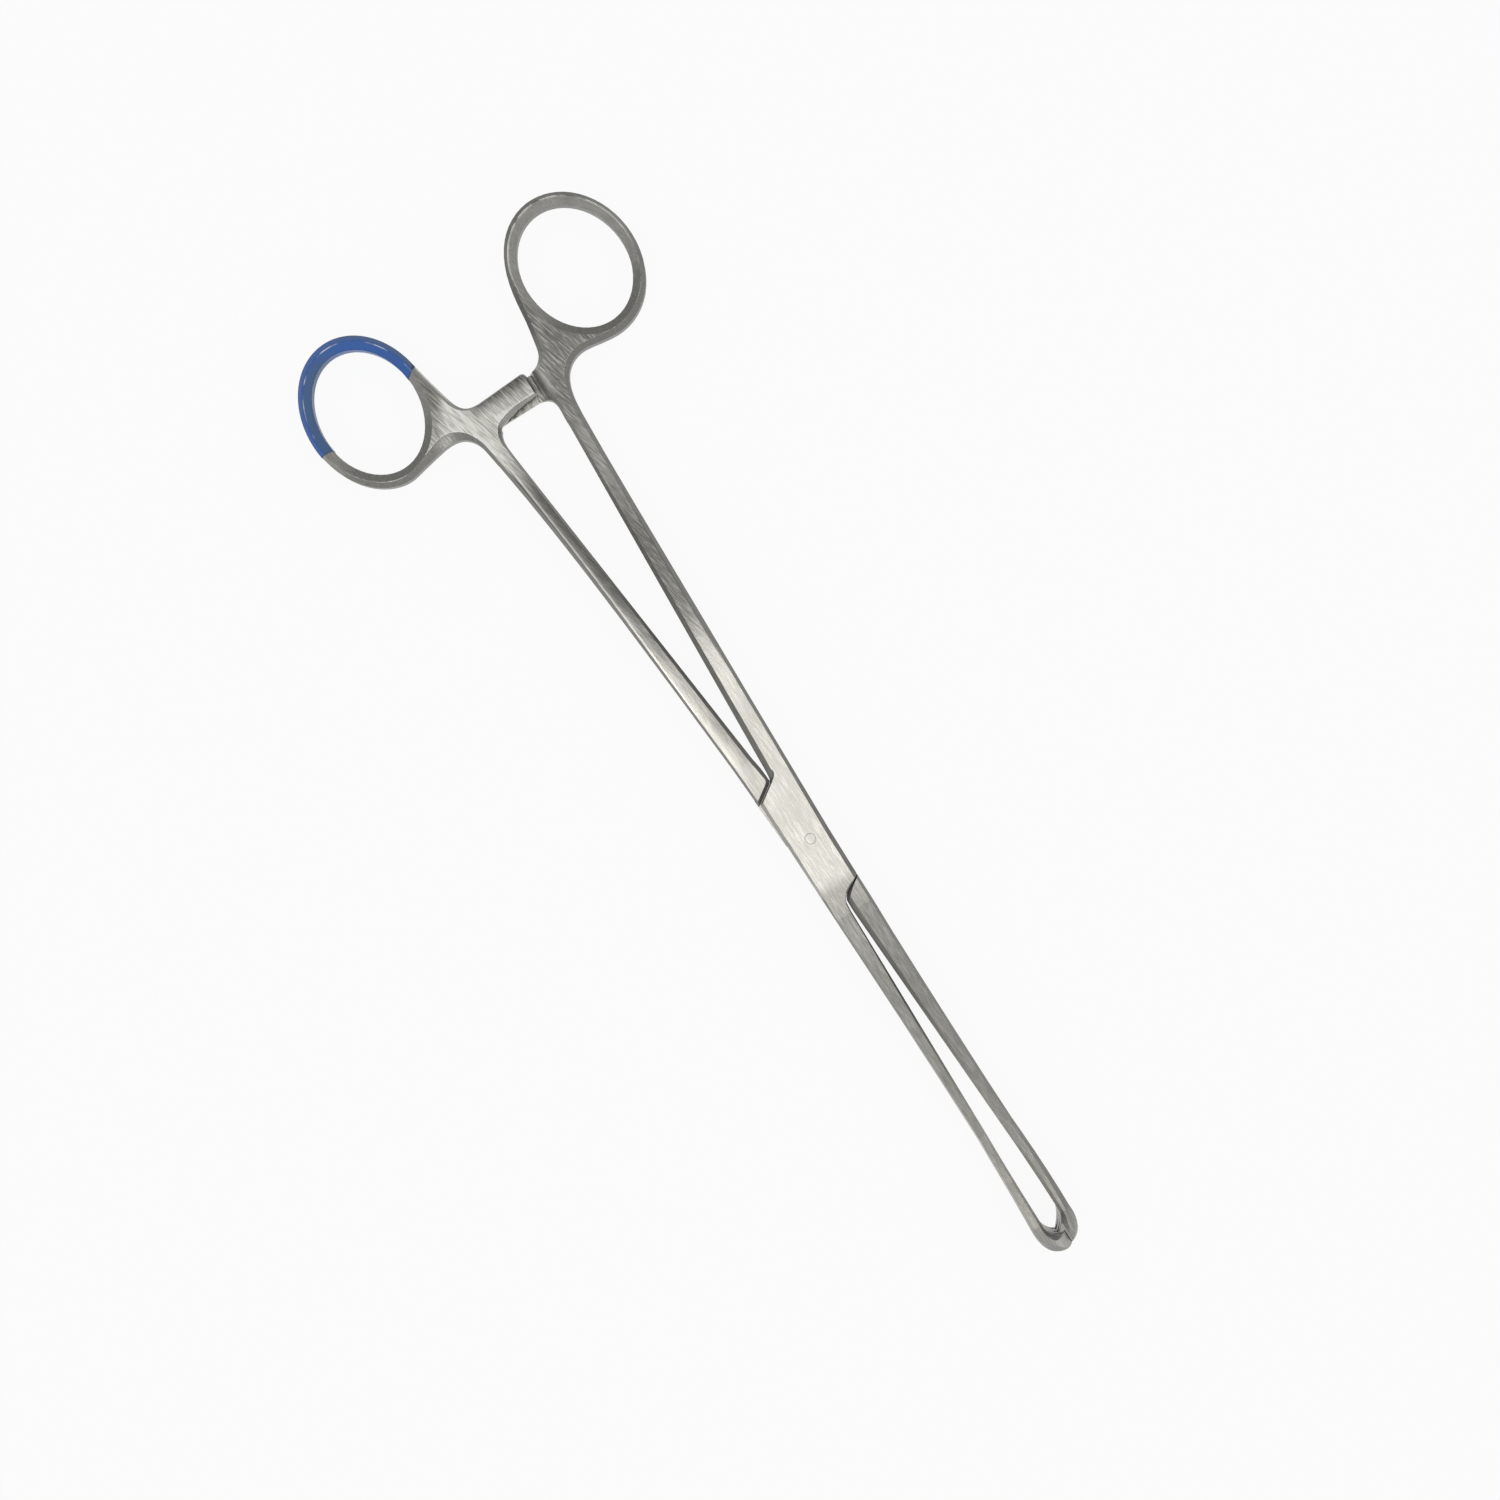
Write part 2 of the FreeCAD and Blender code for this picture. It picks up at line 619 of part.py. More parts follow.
def male_hook():
    # Upper hook: turns down across the end and ends in three claw teeth
    inner_y = male_jaw_inner[2]
    outer_y = inner_y + male_hook_width
    inner = hook_edge(male_hook_inner, inner_y, male_point_y)
    outer = hook_edge(male_hook_outer, male_point_y, outer_y)
    point = with_bevel([inner[-1], outer[0]], claw_point_bevel)
    start = with_bevel([outer[-1], inner[0]], 0.0)
    hook = bevelled_plate([inner, point, outer, start], claw_half_height - claw_bevel_depth, claw_half_height)
    valley_y = claw_peak_y + claw_gap / 2
    cutter = claw_cutter(
        -claw_tooth_pitch, 3, valley_y, claw_valley_y + claw_gap / 2, valley_y, -tool_overshoot
    )
    return hook.cut(cutter)


def facing_edge(span, bevels):
    # The other half's edge along a shoulder: the same points across the gap, in the opposite order
    moved = []
    for point, normal, bevel in zip(span, inward_normals(span), bevels):
        moved.append((point[0] - normal[0] * shoulder_gap, point[1] - normal[1] * shoulder_gap, bevel))
    return moved[::-1]


def male_left_block():
    # Full-height end of the male shank, up to the shoulder that faces the box
    inner_y = male_shank_inner[1]
    outer_y = inner_y - male_shank_widths[-1]
    crotch = facing_edge(left_crotch[1:], male_crotch_bevels[::-1])
    shoulder_slope = slope_between(left_crotch[-1], box_lower_left)
    outer_corner = line_meeting(crotch[0], shoulder_slope, (box_left_x, outer_y), male_left_outer_slope)
    spans = [
        with_bevel([(box_left_x, inner_y), (box_left_x, outer_y)], 0.0),
        with_bevel([(box_left_x, outer_y), outer_corner], male_shank_outer_bevels[1]),
        with_bevel([outer_corner, crotch[0]], shoulder_bevel),
        crotch,
        [crotch[-1], (*male_crotch_start, male_shank_inner_bevels[1])],
        with_bevel([male_crotch_start, (box_left_x, inner_y)], male_shank_inner_bevels[1]),
    ]
    return bevelled_plate(spans, mid_height - box_bevel_depth, mid_height)


def male_right_block():
    # Full-height start of the male jaw, from the shoulder on the far side of the box
    inner_y = male_jaw_inner[0]
    outer_y = inner_y + male_jaw_widths[0]
    shoulder = facing_edge(right_shoulder, male_right_shoulder_bevels)
    slope = slope_between(shoulder[0], shoulder[1])
    corner = line_meeting(shoulder[1], slope, (box_right_x, outer_y), 0.0)
    shoulder[0] = (*corner, male_right_shoulder_bevels[-1])
    spans = [
        with_bevel([shoulder[-1], (box_right_x, inner_y)], male_jaw_inner_bevels[0]),
        with_bevel([(box_right_x, inner_y), (box_right_x, outer_y)], 0.0),
        with_bevel([(box_right_x, outer_y), corner], male_jaw_outer_bevels[0]),
        shoulder,
    ]
    return bevelled_plate(spans, mid_height - box_bevel_depth, mid_height)


def slope_between(start, end):
    return (end[1] - start[1]) / (end[0] - start[0])


def tenon():
    # The thin middle of the male half, with a heel and a toe that close the sides of the box
    half_width = tenon_width / 2
    heel = math.radians(heel_end_angle)
    inner = half_width / math.tan(heel)
    reach = slot_length / 2
    heel_x = -heel_end_reach / math.tan(heel + math.radians(tenon_angle))
    male_right_outer_y = male_jaw_inner[0] + male_jaw_widths[0]
    male_left_outer_y = male_shank_inner[1] - male_shank_widths[-1]
    upper_right = right_shoulder[-1]
    points = [
        joint_point(-inner, -half_width),
        joint_point(reach, -half_width),
        (box_right_x - toe_inset, male_right_outer_y - toe_inset),
        (upper_right[0] + toe_start, upper_right[1] - toe_edge_inset),
        (-heel_x, box_upper_mid[1] - toe_edge_inset),
        joint_point(inner, half_width),
        joint_point(-reach, half_width),
        (box_left_x + heel_start[0], male_left_outer_y + heel_start[1]),
        (box_lower_left[0] - heel_outer[0], box_lower_left[1] - heel_outer[1]),
        (heel_x, -heel_end_reach),
    ]
    return flat_polygon(points, mid_height - tenon_thickness / 2, tenon_thickness)


def male_half():
    shank_bevels = (male_shank_inner_bevels, male_shank_outer_bevels)
    shank = shank_bar(male_shank_inner, male_shank_widths, -1, *shank_bevels)
    jaw_bevels = (male_jaw_inner_bevels, male_jaw_outer_bevels)
    jaw = jaw_bars(male_jaw_inner, male_jaw_widths, male_hook_width, 1, *jaw_bevels)
    middle = male_left_block().fuse([tenon(), male_right_block()])
    middle = middle.cut(make_pin(pin_radius + pin_running_clearance))
    return male_handle().fuse([shank, middle, jaw, male_hook()]).removeSplitter()


def skin_levels(bevel):
    # Where a bevelled edge lies once every face of it has moved out by the coat's thickness:
    # the height of its lower corner, the height of its upper corner and the inset there
    slope = (handle_half_height - handle_side_half_height) / bevel
    shift = coat_thickness * math.hypot(1.0, slope) / slope
    lower = handle_side_half_height + (shift - coat_thickness) * slope
    return lower, handle_half_height + coat_thickness, bevel - shift + coat_thickness / slope


def coated_ring_skin(grow, top_grow, lower, upper):
    # A closed ring-shaped body, with its widest outline at both lower levels
    wires = []
    for height, more in ((-upper, top_grow), (-lower, grow), (lower, grow), (upper, top_grow)):
        a = coated_hole_length / 2 + more[0]
        b = coated_hole_width / 2 + more[1]
        wires.append(ellipse_wire(coated_ring_centre(), coated_ring_tilt, a, b, mid_height + height))
    return Part.makeLoft(wires, True, True)


def colour_coat(handle):
    # Thin coloured coating round the outer part of the ring, as thick everywhere
    end = ring_wire_end + coat_thickness
    side = ring_wire_side + coat_thickness
    lower, upper, end_inset = skin_levels(ring_outer_bevel(ring_wire_end))
    side_inset = skin_levels(ring_outer_bevel(ring_wire_side))[2]
    top_grow = (ring_wire_end - end_inset, ring_wire_side - side_inset)
    skin = coated_ring_skin((end, side), top_grow, lower, upper)
    lower, upper, inset = skin_levels(ring_inner_bevel)
    hole = coated_ring_skin((-coat_thickness, -coat_thickness), (inset, inset), lower, upper)
    middle_x, middle_y = coated_ring_centre()
    above = middle_y + coated_hole_width
    below = middle_y - coated_hole_width
    beyond = middle_x - coated_hole_length
    upper_end = (middle_x + coat_upper_end[0], middle_y + coat_upper_end[1])
    lean = (above - upper_end[1]) * coat_upper_end_lean
    reach = [
        (beyond, above),
        (beyond, below),
        (middle_x + coat_lower_end, below),
        (middle_x + coat_lower_end, middle_y),
        upper_end,
        (upper_end[0] - lean, above),
    ]
    return skin.cut(hole).common(flat_polygon(reach, 0.0, box_height)).cut(handle)


parts = {
    "female_half": female_half(),
    "male_half": male_half(),
    "joint_pin": make_pin(pin_radius),
    "ring_colour_coat": colour_coat(male_handle()),
}

for name, shape in parts.items():
    shape.exportStep("parts/" + name + ".step")
    print(name, shape.isValid(), len(shape.Solids), round(shape.Volume, 2), shape.BoundBox)
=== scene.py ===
import bpy
import math
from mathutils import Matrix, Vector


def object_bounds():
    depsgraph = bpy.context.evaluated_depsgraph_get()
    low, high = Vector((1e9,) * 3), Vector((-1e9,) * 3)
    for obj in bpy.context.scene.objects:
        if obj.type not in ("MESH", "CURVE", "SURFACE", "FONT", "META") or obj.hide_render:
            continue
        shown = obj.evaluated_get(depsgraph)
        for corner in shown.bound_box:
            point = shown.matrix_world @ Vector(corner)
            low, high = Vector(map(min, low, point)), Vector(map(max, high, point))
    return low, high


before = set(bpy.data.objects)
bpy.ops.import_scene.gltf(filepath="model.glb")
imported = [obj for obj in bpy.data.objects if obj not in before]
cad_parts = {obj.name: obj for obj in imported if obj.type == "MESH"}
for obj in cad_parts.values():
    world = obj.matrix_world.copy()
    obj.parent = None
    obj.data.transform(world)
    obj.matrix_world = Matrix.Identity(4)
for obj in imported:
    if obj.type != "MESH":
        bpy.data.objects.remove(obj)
cad_low, cad_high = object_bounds()

# Camera
# The instrument is seen from straight above, turned so that its claws point down to the right.
# The lens looks down on the handle side of the box, from about 0.41 m.
# The width that it sees is measured at the middle height of the instrument.
millimetre = 0.001
middle_height = 3.0 * millimetre
camera_above = (-21.8 * millimetre, -0.7 * millimetre)
camera_height = 412.0 * millimetre
camera_turn = math.radians(57.6)
seen_width = 306.9 * millimetre
sensor_width = 36.0
camera_data = bpy.data.cameras.new("camera")
camera_data.sensor_width = sensor_width
camera_data.lens = sensor_width * (camera_height - middle_height) / seen_width
camera = bpy.data.objects.new("camera", camera_data)
bpy.context.scene.collection.objects.link(camera)
camera.location = (*camera_above, camera_height)
camera.rotation_euler = (0.0, 0.0, camera_turn)
bpy.context.scene.camera = camera


# Floor
# A plain white table under the instrument, which rests on its claws.
# The camera and the metal see it near to white, and it still keeps a soft shadow.
class Flow:
    """A value or colour on its way through a material. Sums written with it become Math nodes."""

    def __init__(self, tree, socket=None):
        self.tree = tree
        self.socket = socket

    def node(self, kind, settings=None, inputs=None, output=0):
        """Adds a node of a kind, with its settings first and then the values or links of its sockets."""
        made = self.tree.nodes.new("ShaderNode" + kind)
        for name, value in (settings or {}).items():
            if name == "stops":
                ramp = made.color_ramp.elements
                while len(ramp) < len(value):
                    ramp.new(1.0)
                for stop, (position, colour) in zip(ramp, value):
                    stop.position = position
                    stop.color = (*colour, 1.0)
            else:
                setattr(made, name, value)
        for name, value in (inputs or {}).items():
            if isinstance(value, Flow):
                self.tree.links.new(value.socket, made.inputs[name])
            else:
                made.inputs[name].default_value = value
        return Flow(self.tree, made.outputs[output] if made.outputs else None)

    def maths(self, operation, *values):
        return self.node("Math", {"operation": operation}, dict(enumerate(values)))

    def __add__(self, other):
        return self.maths("ADD", self, other)

    __radd__ = __add__

    def __sub__(self, other):
        return self.maths("SUBTRACT", self, other)

    def __rsub__(self, other):
        return self.maths("SUBTRACT", other, self)

    def __mul__(self, other):
        return self.maths("MULTIPLY", self, other)

    __rmul__ = __mul__

    def __truediv__(self, other):
        return self.maths("DIVIDE", self, other)

    def __rtruediv__(self, other):
        return self.maths("DIVIDE", other, self)

    def at_least(self, other):
        return self.maths("MAXIMUM", self, other)

    def size(self):
        return self.maths("ABSOLUTE", self)

    def rise(self, low, high, first=0.0, last=1.0):
        """Goes softly from the first value to the last as this value goes from low to high."""
        span = {"From Min": low, "From Max": high, "To Min": first, "To Max": last}
        return self.node("MapRange", {"interpolation_type": "SMOOTHSTEP"}, {"Value": self, **span})

    def fall(self, low, high):
        """Goes softly from 1 to 0 as this value goes from low to high."""
        return self.rise(low, high, 1.0, 0.0)

    def band(self, start, full, fading, end):
        """Goes softly from 0 to 1 between start and full, and back to 0 between fading and end."""
        return self.rise(start, full) * self.fall(fading, end)

    def mixed(self, first, last):
        """From the first value to the last as this value goes from 0 to 1."""
        return self.node("Mix", inputs={0: self, 2: first, 3: last})

    def colours(self, first, last):
        """From the first colour to the last as this value goes from 0 to 1."""
        return self.node("Mix", {"data_type": "RGBA"}, {0: self, 6: first, 7: last}, output=2)

    def part(self, axis):
        """One number of a vector."""
        return self.node("SeparateXYZ", inputs={0: self}, output=axis)

    def scaled(self, factor):
        """A vector or colour times a number."""
        return self.node("VectorMath", {"operation": "SCALE"}, {0: self, "Scale": factor})

    def noise(self, size, detail):
        """Noise at this place, moved to lie about zero, with spots of about this size along each axis."""
        middle = 0.5
        stretched = self.node("Mapping", {"vector_type": "TEXTURE"}, {"Vector": self, "Scale": size})
        return self.node("TexNoise", inputs={"Vector": stretched, "Scale": 1.0, "Detail": detail}) - middle


def new_material(name):
    """An empty material, and the flow that its nodes start from."""
    material = bpy.data.materials.new(name)
    material.use_nodes = True
    material.node_tree.nodes.clear()
    return material, Flow(material.node_tree)


floor_half_size = 3.0
floor_clearance = 0.05 * millimetre
floor_height = cad_low.z - floor_clearance
floor_colour = (0.86, 0.86, 0.86, 1.0)
floor_whitening = 0.92
full_white = (1.0, 1.0, 1.0, 1.0)
floor_corners = [(-1, -1), (1, -1), (1, 1), (-1, 1)]
floor_places = [(x * floor_half_size, y * floor_half_size, floor_height) for x, y in floor_corners]
floor_mesh = bpy.data.meshes.new("floor")
floor_mesh.from_pydata(floor_places, [], [(0, 1, 2, 3)])
floor = bpy.data.objects.new("floor", floor_mesh)
bpy.context.scene.collection.objects.link(floor)
floor_material, flow = new_material("white_table")
seen_by_camera = flow.node("LightPath", output="Is Camera Ray")
seen_in_metal = flow.node("LightPath", output="Is Glossy Ray")
seen_through = flow.node("LightPath", output="Is Transmission Ray")
whitening = seen_by_camera.at_least(seen_in_metal).at_least(seen_through) * floor_whitening
matt = flow.node("BsdfDiffuse", inputs={"Color": floor_colour})
white = flow.node("Emission", inputs={"Color": full_white, "Strength": 1.0})
floor_shader = flow.node("MixShader", inputs={0: whitening, 1: matt, 2: white})
flow.node("OutputMaterial", inputs={"Surface": floor_shader})
floor_mesh.materials.append(floor_material)

# Light
# A plain studio: a room, darker at its walls and towards the rings, and a long soft lamp over the box.
# Together they light a level surface at about the strength at which its colour shows as written.
lamp_height = 0.8
lamp_centre = (-14.5 * millimetre, 0.0)
lamp_length = 0.17
lamp_width = 1.1
lamp_brightness = 1.45
lamp_colour = (1.0, 0.99, 0.93)
room_stops = (
    (0.0, (0.55, 0.55, 0.555)),
    (0.14, (0.42, 0.42, 0.425)),
    (0.45, (0.62, 0.62, 0.61)),
    (1.0, (0.73, 0.73, 0.715)),
)
dark_side = (-0.9, 0.1)
dark_side_shades = (0.6, 1.0)
backdrop_colour = (0.98, 0.98, 0.98, 1.0)
lamp_data = bpy.data.lights.new("soft_lamp", "AREA")
lamp_data.shape = "RECTANGLE"
lamp_data.color = lamp_colour
lamp_data.size = lamp_length
lamp_data.size_y = lamp_width
lamp_data.energy = lamp_brightness * math.pi * lamp_length * lamp_width
lamp = bpy.data.objects.new("soft_lamp", lamp_data)
bpy.context.scene.collection.objects.link(lamp)
lamp.location = (*lamp_centre, lamp_height)
world = bpy.data.worlds.new("studio")
bpy.context.scene.world = world
world.use_nodes = True
world.node_tree.nodes.clear()
flow = Flow(world.node_tree)
direction = flow.node("TexCoord", output="Generated")
overhead = flow.node("ValToRGB", {"stops": room_stops}, {0: direction.part("Z")})
room_colour = overhead.scaled(direction.part("X").rise(*dark_side, *dark_side_shades))
room = flow.node("Background", inputs={"Color": room_colour, "Strength": 1.0})
backdrop = flow.node("Background", inputs={"Color": backdrop_colour, "Strength": 1.0})
seen_by_camera = flow.node("LightPath", output="Is Camera Ray")
studio = flow.node("MixShader", inputs={0: seen_by_camera, 1: room, 2: backdrop})
flow.node("OutputWorld", inputs={"Surface": studio})
bpy.context.scene.view_settings.view_transform = "Standard"

# Female half
# The half with the plain ring and the slotted box, forged in one piece from stainless steel.
# Its faces are ground flat and brushed, its bevels are satin, and its edges catch the light. Light and shade
# are also painted into its tone in places: dark bevels and flanks, brighter and darker stretches along it,
# and highlights.
level_up = (0.88, 0.97)
grain_size = (2.6, 0.24, 0.24)
grain_detail = 3.0
streak_size = (4.0, 0.34, 0.34)
streak_detail = 2.0
patch_size = (14.0, 3.0, 3.0)
patch_detail = 2.0
grain_bend = -40.0
grain_slope = 0.04
handle_grain_slope = 0.22


class Spot:
    """A spot on the steel: its place in millimetres, how level it is, and the marks of brushing on it."""

    def __init__(self, flow):
        place = flow.node("TexCoord", output="Object").scaled(1.0 / millimetre)
        self.x = place.part("X")
        self.y = place.part("Y")
        self.from_middle = (place.part("Z") - middle_height / millimetre).size()
        self.up = flow.node("TexCoord", output="Normal").part("Z").size()
        self.flat = self.up.rise(*level_up)
        bent = (grain_bend - self.x).at_least(0.0) * handle_grain_slope
        across = self.y + bent - self.x * grain_slope
        along_grain = flow.node("CombineXYZ", inputs={0: self.x, 1: across, 2: place.part("Z")})
        self.grain = along_grain.noise(grain_size, grain_detail)
        self.streak = along_grain.noise(streak_size, streak_detail)
        self.patch = place.noise(patch_size, patch_detail)


steel_tint = (1.0, 0.985, 0.935)
steel_metallic = (0.6, 1.0)
steel_roughness = (0.36, 0.2)
grain_roughness = 0.2
bump_strength = 0.35
bump_depth = 0.04 * millimetre
edge_radius = 0.15 * millimetre
edge_samples = 6


def steel_material(name, paint):
    """Brushed steel, shinier on level faces. The paint gives a spot's tone, the light that it gives back,
    with light and shade painted into it in places.
    """
    material, flow = new_material(name)
    spot = Spot(flow)
    soft_edge = flow.node("Bevel", {"samples": edge_samples}, {"Radius": edge_radius})
    shader = flow.node("BsdfPrincipled", inputs={
        "Base Color": flow.node("VectorMath", {"operation": "SCALE"}, {0: steel_tint, "Scale": paint(spot)}),
        "Metallic": spot.flat.mixed(*steel_metallic),
        "Roughness": spot.flat.mixed(*steel_roughness) + spot.grain * grain_roughness,
        "Normal": flow.node("Bump", inputs={
            "Strength": bump_strength, "Distance": bump_depth, "Height": spot.grain, "Normal": soft_edge,
        }),
    })
    flow.node("OutputMaterial", inputs={"Surface": shader})
    return material


def dress(node_name, material):
    """Puts a material on the whole of a solid."""
    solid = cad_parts[node_name]
    solid.data.materials.clear()
    solid.data.materials.append(material)


def around_ring(x, y, centre, crest, tilt):
    """1 on the crest of a finger ring, less inside it and more outside it."""
    from_x = x - centre[0]
    from_y = y - centre[1]
    along = (from_x * math.cos(tilt) + from_y * math.sin(tilt)) / crest[0]
    across = (from_y * math.cos(tilt) - from_x * math.sin(tilt)) / crest[1]
    return along * along + across * across


def above_line(spot, middle, height, slope, bend=0.0):
    """How far a spot lies above a gently bent line that runs along the instrument."""
    along = spot.x - middle
    return spot.y - along * slope - along * along * bend - height


# A painted highlight of the lamp along the box, and painted shade on the flare of the jaws and on the claws.
box_highlight = (-8.0, 8.0)
box_highlight_shades = (1.08, 1.42)
box_highlight_end = (8.5, 12.5)
box_highlight_end_shades = (1.0, 0.70)
jaw_flare = (70.0, 84.0)
jaw_flare_shades = (0.86, 0.58)
claw_face = (90.9, 91.1)
claw_face_shade = 0.95


def shade_along(x):
    """Painted light and shade along the instrument: a painted highlight of the lamp, brightest on the box,
    and painted shade on the flared end of a jaw.
    """
    flare = x.rise(*jaw_flare, *jaw_flare_shades)
    lamp_highlight = x.rise(*box_highlight, *box_highlight_shades) * x.rise(*box_highlight_end, *box_highlight_end_shades)
    return x.rise(*claw_face).mixed(flare, claw_face_shade) * lamp_highlight


# Painted shade on the level ground between the teeth of the claws.
claw_gap = (90.5, 91.5)
claw_gap_depth = (4.0, 4.3)
claw_gap_shade = 0.6


def brushed_face(spot, tone, depths, busy, scratches):
    """A level face with its grain, patches and scratches, and painted shade between the teeth of the claws.
    """
    grain_depth, patch_depth = depths
    marks = (spot.grain * grain_depth + spot.patch * patch_depth) * busy
    gap = spot.x.rise(*claw_gap) * spot.from_middle.fall(*claw_gap_depth)
    return (tone * (1.0 + marks) + scratches) * shade_along(spot.x) * gap.mixed(1.0, claw_gap_shade)


handle_end = (-106.0, -102.0)
# Satin bevels are darker for their finish and for painted shade. The flank tone at the ring is painted shade,
# and the lights below are painted light.
satin_and_shade_tone = 0.26
inner_jaw = (30.0, 70.0, 90.0, 92.0)
inner_jaw_light = 0.34
claw_side = (90.5, 92.0)
claw_side_light = 0.08
ring_flank_up = (0.55, 0.72)
ring_flank_tone = 0.22
slope_grain_depth = 0.9


def slope_tone(spot, ring_tone, inner_side, edge_light=0.0):
    """The slopes: painted shade on the flanks at the ring, satin bevels after it darkened by their finish and
    by painted shade, and painted light inside the jaws, on the claws and along a given edge.
    """
    inside = spot.x.band(*inner_jaw) * inner_side * inner_jaw_light
    claw = spot.x.rise(*claw_side) * claw_side_light
    ring = spot.up.rise(*ring_flank_up, ring_flank_tone, ring_tone)
    tone = spot.x.fall(*handle_end).mixed(satin_and_shade_tone + inside + claw + edge_light, ring)
    return tone * (1.0 + spot.grain * slope_grain_depth)


tip_start = (92.8, 93.4)
tip_up = (0.82, 0.86, 0.96, 0.98)
painted_tip_light = 0.24


def tip(spot):
    """Painted highlights on the rounded tips of the claws."""
    return spot.x.rise(*tip_start) * spot.up.band(*tip_up) * painted_tip_light


plain_ring = ((-124.3, 22.0), (15.1, 12.55), math.radians(5.5))
# Painted light and shade on the plain ring's slopes, and a painted highlight on its crest, broken up by
# patches.
plain_crest_step = (0.98, 1.02)
plain_crest_tones = (0.36, 0.20)
plain_patch_depth = 0.2
crest_line_width = (0.0, 0.035)
crest_line_end = (-128.0, -119.0)
crest_line_light = (0.9, 0.0)
crest_highlight_breaks = (-0.12, 0.04)
plain_ring_end = (-119.0, -115.0)
plain_ring_end_tone = 0.28


def plain_ring_tone(spot):
    """The plain ring has painted light inside its crest and painted shade outside it, and a painted highlight
    along the crest in places.
    """
    ring = around_ring(spot.x, spot.y, *plain_ring)
    sides = ring.rise(*plain_crest_step, *plain_crest_tones) + spot.patch * plain_patch_depth
    crest = (ring - 1.0).size().fall(*crest_line_width) * spot.x.rise(*crest_line_end, *crest_line_light)
    ring_tone = sides + crest * spot.patch.rise(*crest_highlight_breaks)
    return spot.x.rise(*plain_ring_end).mixed(ring_tone, plain_ring_end_tone)


female_tone = 0.42
female_web = (-104.0, -90.0)
female_web_shade = 0.13
# Painted shade on the middle of the shank, and a painted reflection of the lamp further on.
female_shank = (-85.0, -72.0, -56.0, -44.0)
female_shank_shade = 0.18
painted_gleam = (-50.0, -42.0, -38.0, -28.0)
female_gleam_light = 0.12
female_depths = (1.8, 0.8)
female_web_calm = (-104.0, -94.0)
female_web_calm_depths = (1.0, 0.6)
female_shank_calm = (-60.0, -40.0)
female_shank_calm_depths = (1.0, 0.75)
scratch_streak = (0.02, 0.14)
female_scratch_light = 0.20
female_web_scratch_light = 0.10
# A dark band of painted shade along the outer bevel of the shank.
female_bevel_line = (-65.0, 5.02, -0.035, 0.00034)
female_bevel_edge = (-0.1, 0.1)
female_bevel_reach = (-98.0, -90.0, -46.0, -36.0)
female_bevel_painted_shade = 0.17


def female_level(spot):
    """Its level faces: a web with deep scratches, painted shade on the middle of the shank, a painted
    reflection of the lamp, and a dark band of painted shade along the bevel on its outer side.
    """
    web = spot.x.fall(*female_web)
    calm_web = spot.x.rise(*female_web_calm, *female_web_calm_depths)
    busy = calm_web * spot.x.rise(*female_shank_calm, *female_shank_calm_depths)
    scratch_light = web * female_web_scratch_light + female_scratch_light
    scratches = spot.streak.rise(*scratch_streak) * scratch_light * busy
    tone = female_tone - spot.x.band(*female_shank) * female_shank_shade - web * female_web_shade
    tone = tone + spot.x.band(*painted_gleam) * female_gleam_light
    face = brushed_face(spot, tone, female_depths, busy, scratches)
    bevel = above_line(spot, *female_bevel_line).rise(*female_bevel_edge)
    return (bevel * spot.x.band(*female_bevel_reach)).mixed(face, female_bevel_painted_shade)


female_inner_side = (-6.0, -3.0)
box_end = (11.0, 12.5)
# Painted highlights on the box's lower edge, in stripes on the foot of the ratchet and on its teeth.
box_lower_edge = (-4.2, -3.6)
box_lower_edge_light = 0.2
foot_stripe = (2.0, 2.5, 2.7, 3.2)
foot_stripe_light = 0.6
faint_foot_stripe = (3.8, 4.1, 5.0, 5.3)
faint_foot_stripe_light = 0.14
foot_end = (-106.0, -104.0)
ratchet_teeth = (-107.2, -106.6, -104.0, -103.0)
female_arm_sides = (-9.0, -8.0, 1.4, 1.8)
female_teeth_light = 0.4


def female_paint(spot):
    """Level faces and slopes, with painted highlights on the box's lower edge, the ratchet and the tips of
    the claws.
    """
    lower_edge = spot.x.size().fall(*box_end) * spot.y.fall(*box_lower_edge) * box_lower_edge_light
    slopes = slope_tone(spot, plain_ring_tone(spot), spot.y.rise(*female_inner_side), lower_edge)
    stripes = spot.y.band(*foot_stripe) * foot_stripe_light
    stripes = stripes + spot.y.band(*faint_foot_stripe) * faint_foot_stripe_light
    foot = stripes * spot.x.fall(*foot_end)
    teeth = spot.x.band(*ratchet_teeth) * spot.y.band(*female_arm_sides) * female_teeth_light
    return spot.flat.mixed(slopes, female_level(spot)) + foot + teeth + tip(spot)


dress("female_half", steel_material("female_steel", female_paint))

# Male half
# The half with the coated ring, forged from the same steel, whose thin tenon passes through the box.
# Its web and its ratchet arm carry painted light, so they show brighter than the rest.
coated_centre = (-121.75, -29.55)
coated_ring = (coated_centre, (15.35, 12.2), math.radians(1.1))
male_tone = 0.40
arm_side = (-13.5, -9.0)
web_start = (-119.0, -111.0)
web_start_shades = (0.3, 1.0)
arm_start = (-111.2, -107.8)
arm_start_shades = (0.34, 1.0)
# Painted light on the web.
male_web = (-101.0, -90.0)
male_web_from_ring = (1.1, 1.6)
male_web_light = 0.42
# Painted light on the shank along its outer side, and less further in.
male_outer_line = (-98.0, -12.9, 0.0908)
male_across = (0.5, 3.2)
male_across_tones = (0.18, -0.1)
male_across_end = (-22.0, -16.0)
# Painted shade on the middle of the shank.
male_shank = (-94.0, -88.0, -64.0, -54.0)
male_shank_shade = 0.12
male_gleam_light = 0.1
male_depths = (1.7, 0.7)
male_calm = (-98.0, -88.0)
male_calm_depths = (1.0, 0.45)
male_streak = (0.0, 0.14)
male_streak_tones = (-0.04, 0.13)
# A painted highlight line beside the bevel of the shank, and painted shade on the bevel.
male_bevel_line = (-72.0, -8.88, 0.0877, -0.00052)
male_bevel_reach = (-98.0, -92.0, -40.0, -28.0)
bright_line_width = (0.1, 0.3)
bright_line_light = 0.3
male_bevel_edge = (-0.3, -0.15)
male_bevel_painted_shade = 0.18


